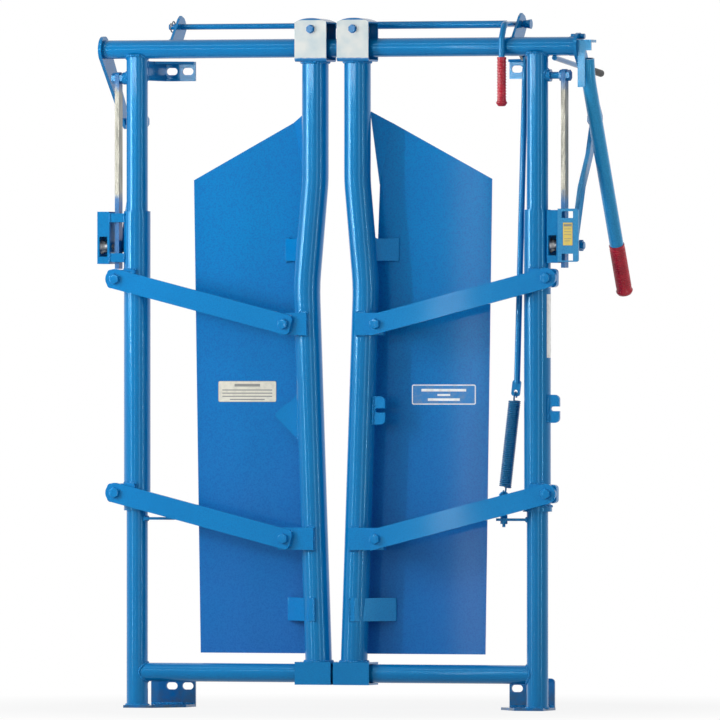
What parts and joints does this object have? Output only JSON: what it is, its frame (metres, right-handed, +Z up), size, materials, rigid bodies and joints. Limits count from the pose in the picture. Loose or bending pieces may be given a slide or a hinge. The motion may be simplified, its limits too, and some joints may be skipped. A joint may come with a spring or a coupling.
{
  "type": "cattle head gate",
  "caption": "Steel cattle head gate with a tube frame, two sliding doors with bent neck tubes, swinging arms, rising sleeves, a side hand lever and a return spring",
  "frame": {"origin": "on the rear mounting plane, midway between the lower outer slots", "axes": "+Z up, +X to the side of the hand lever, -Y is the front where the animal puts its head out"},
  "size_m": [1.1764, 0.3997, 1.562],
  "materials": {
    "top_rail": "gloss powder coat",
    "bottom_rail": "gloss powder coat",
    "left_post": "gloss powder coat",
    "right_post": "gloss powder coat",
    "feet": "gloss powder coat",
    "top_brackets": "gloss powder coat",
    "rod_ears": "gloss powder coat",
    "latch_bars": "zinc plated steel",
    "latch_bolts": "gloss powder coat",
    "spring_brackets": "gloss powder coat",
    "eye_bolt": "gloss powder coat",
    "shaft_bushes": "nylon",
    "return_spring": "painted spring wire",
    "stop_rod": "gloss powder coat",
    "bumper": "black rubber",
    "torsion_shaft": "bare steel",
    "left_crank": "gloss powder coat",
    "right_crank": "gloss powder coat",
    "clamp_bolt": "gloss powder coat",
    "lever_bracket": "gloss powder coat",
    "hand_lever": "gloss powder coat",
    "lever_grip": "moulded plastic grip",
    "spring_rod": "gloss powder coat",
    "selector_rod": "gloss powder coat",
    "retaining_clip": "zinc plated steel",
    "selector_handle": "gloss powder coat",
    "selector_grip": "moulded plastic grip",
    "left_sleeve": "gloss powder coat",
    "left_sleeve_lugs": "gloss powder coat",
    "left_lock_box": "gloss powder coat",
    "left_lock_cam": "bare steel",
    "left_neck_tube": "gloss powder coat",
    "left_hanger": "gloss powder coat",
    "left_slide_box": "gloss powder coat",
    "left_wing_panel": "gloss powder coat",
    "left_door_tabs": "gloss powder coat",
    "left_hanger_roller": "bare steel",
    "left_upper_arm": "gloss powder coat",
    "left_upper_arm_bolts": "gloss powder coat",
    "left_lower_arm": "gloss powder coat",
    "left_lower_arm_bolts": "gloss powder coat",
    "left_lift_link": "gloss powder coat",
    "left_link_bolts": "gloss powder coat",
    "right_sleeve": "gloss powder coat",
    "right_sleeve_lugs": "gloss powder coat",
    "right_lock_box": "gloss powder coat",
    "right_lock_cam": "bare steel",
    "lock_cover": "gloss powder coat",
    "right_neck_tube": "gloss powder coat",
    "right_hanger": "gloss powder coat",
    "right_slide_box": "gloss powder coat",
    "right_wing_panel": "gloss powder coat",
    "right_door_tabs": "gloss powder coat",
    "right_hanger_roller": "bare steel",
    "right_upper_arm": "gloss powder coat",
    "right_upper_arm_bolts": "gloss powder coat",
    "right_lower_arm": "gloss powder coat",
    "right_lower_arm_bolts": "gloss powder coat",
    "right_lift_link": "gloss powder coat",
    "right_link_bolts": "gloss powder coat"
  },
  "bodies": {
    "frame": {"top_rail": "top_rail", "bottom_rail": "bottom_rail", "left_post": "left_post", "right_post": "right_post", "feet": "feet", "top_brackets": "top_brackets", "rod_ears": "rod_ears", "latch_bars": "latch_bars", "latch_bolts": "latch_bolts", "spring_brackets": "spring_brackets", "eye_bolt": "eye_bolt", "shaft_bushes": "shaft_bushes", "return_spring": "return_spring", "stop_rod": "stop_rod", "bumper": "bumper"},
    "shaft": {"torsion_shaft": "torsion_shaft", "left_crank": "left_crank", "right_crank": "right_crank", "clamp_bolt": "clamp_bolt", "lever_bracket": "lever_bracket", "hand_lever": "hand_lever", "lever_grip": "lever_grip"},
    "spring_rod": {"spring_rod": "spring_rod"},
    "selector": {"selector_rod": "selector_rod", "retaining_clip": "retaining_clip", "selector_handle": "selector_handle", "selector_grip": "selector_grip"},
    "left_sleeve": {"left_sleeve": "left_sleeve", "left_sleeve_lugs": "left_sleeve_lugs", "left_lock_box": "left_lock_box", "left_lock_cam": "left_lock_cam"},
    "left_door": {"left_neck_tube": "left_neck_tube", "left_hanger": "left_hanger", "left_slide_box": "left_slide_box", "left_wing_panel": "left_wing_panel", "left_door_tabs": "left_door_tabs"},
    "left_roller": {"left_hanger_roller": "left_hanger_roller"},
    "left_upper_arm": {"left_upper_arm": "left_upper_arm", "left_upper_arm_bolts": "left_upper_arm_bolts"},
    "left_lower_arm": {"left_lower_arm": "left_lower_arm", "left_lower_arm_bolts": "left_lower_arm_bolts"},
    "left_link": {"left_lift_link": "left_lift_link", "left_link_bolts": "left_link_bolts"},
    "right_sleeve": {"right_sleeve": "right_sleeve", "right_sleeve_lugs": "right_sleeve_lugs", "right_lock_box": "right_lock_box", "right_lock_cam": "right_lock_cam", "lock_cover": "lock_cover"},
    "right_door": {"right_neck_tube": "right_neck_tube", "right_hanger": "right_hanger", "right_slide_box": "right_slide_box", "right_wing_panel": "right_wing_panel", "right_door_tabs": "right_door_tabs"},
    "right_roller": {"right_hanger_roller": "right_hanger_roller"},
    "right_upper_arm": {"right_upper_arm": "right_upper_arm", "right_upper_arm_bolts": "right_upper_arm_bolts"},
    "right_lower_arm": {"right_lower_arm": "right_lower_arm", "right_lower_arm_bolts": "right_lower_arm_bolts"},
    "right_link": {"right_lift_link": "right_lift_link", "right_link_bolts": "right_link_bolts"}
  },
  "joints": [
    {"name": "lever_hinge", "type": "hinge", "parent": "frame", "child": "shaft", "pos_m": [0, -0.113, 1.438], "axis": [1, 0, 0], "range_deg": [0, 73.8]},
    {"name": "selector_turn", "type": "hinge", "parent": "frame", "child": "selector", "pos_m": [0, -0.038, 1.49], "axis": [-1, 0, 0], "range_deg": [0, 60]},
    {"name": "spring_rod_slide", "type": "slide", "parent": "frame", "child": "spring_rod", "axis": [0, 0, 1], "range_m": [0, 0.04853], "deforming": ["return_spring"]},
    {"name": "left_sleeve_slide", "type": "slide", "parent": "frame", "child": "left_sleeve", "axis": [0, 0, 1], "range_m": [0, 0.28438]},
    {"name": "left_door_slide", "type": "slide", "parent": "frame", "child": "left_door", "axis": [-1, 0, 0], "range_m": [0, 0.2505]},
    {"name": "left_roller_spin", "type": "hinge", "parent": "left_door", "child": "left_roller", "pos_m": [-0.05, -0.113, 1.48], "axis": [0, -1, 0], "range_deg": [-1, 697.3]},
    {"name": "left_upper_arm_swing", "type": "hinge", "parent": "left_sleeve", "child": "left_upper_arm", "pos_m": [-0.511, -0.113, 0.92], "axis": [0, 1, 0], "range_deg": [-0.2, 54.46]},
    {"name": "left_lower_arm_swing", "type": "hinge", "parent": "left_sleeve", "child": "left_lower_arm", "pos_m": [-0.511, -0.113, 0.438], "axis": [0, 1, 0], "range_deg": [-0.2, 54.46]},
    {"name": "left_link_swing", "type": "hinge", "parent": "left_sleeve", "child": "left_link", "pos_m": [-0.52, -0.087, 0.993], "axis": [-1, 0, 0], "range_deg": [-0.2, 9.73]},
    {"name": "right_sleeve_slide", "type": "slide", "parent": "frame", "child": "right_sleeve", "axis": [0, 0, 1], "range_m": [0, 0.28438]},
    {"name": "right_door_slide", "type": "slide", "parent": "frame", "child": "right_door", "axis": [1, 0, 0], "range_m": [0, 0.2505]},
    {"name": "right_roller_spin", "type": "hinge", "parent": "right_door", "child": "right_roller", "pos_m": [0.05, -0.113, 1.48], "axis": [0, 1, 0], "range_deg": [-1, 697.3]},
    {"name": "right_upper_arm_swing", "type": "hinge", "parent": "right_sleeve", "child": "right_upper_arm", "pos_m": [0.511, -0.113, 0.92], "axis": [0, -1, 0], "range_deg": [-0.2, 54.46]},
    {"name": "right_lower_arm_swing", "type": "hinge", "parent": "right_sleeve", "child": "right_lower_arm", "pos_m": [0.511, -0.113, 0.438], "axis": [0, -1, 0], "range_deg": [-0.2, 54.46]},
    {"name": "right_link_swing", "type": "hinge", "parent": "right_sleeve", "child": "right_link", "pos_m": [0.52, -0.087, 0.993], "axis": [-1, 0, 0], "range_deg": [-0.2, 9.73]}
  ],
  "couplings": [
    {"joint": "spring_rod_slide", "follows": "lever_hinge", "m_per_rad": 0.037291},
    {"joint": "left_sleeve_slide", "follows": "lever_hinge", "m_per_rad": 0.2204},
    {"joint": "left_door_slide", "follows": "lever_hinge", "m_per_rad": 0.19409},
    {"joint": "left_roller_spin", "follows": "lever_hinge", "ratio": 9.422},
    {"joint": "left_upper_arm_swing", "follows": "lever_hinge", "ratio": 0.73528},
    {"joint": "left_lower_arm_swing", "follows": "lever_hinge", "ratio": 0.73528},
    {"joint": "left_link_swing", "follows": "lever_hinge", "ratio": 0.1292},
    {"joint": "right_sleeve_slide", "follows": "lever_hinge", "m_per_rad": 0.2204},
    {"joint": "right_door_slide", "follows": "lever_hinge", "m_per_rad": 0.19409},
    {"joint": "right_roller_spin", "follows": "lever_hinge", "ratio": 9.422},
    {"joint": "right_upper_arm_swing", "follows": "lever_hinge", "ratio": 0.73528},
    {"joint": "right_lower_arm_swing", "follows": "lever_hinge", "ratio": 0.73528},
    {"joint": "right_link_swing", "follows": "lever_hinge", "ratio": 0.1292}
  ]
}
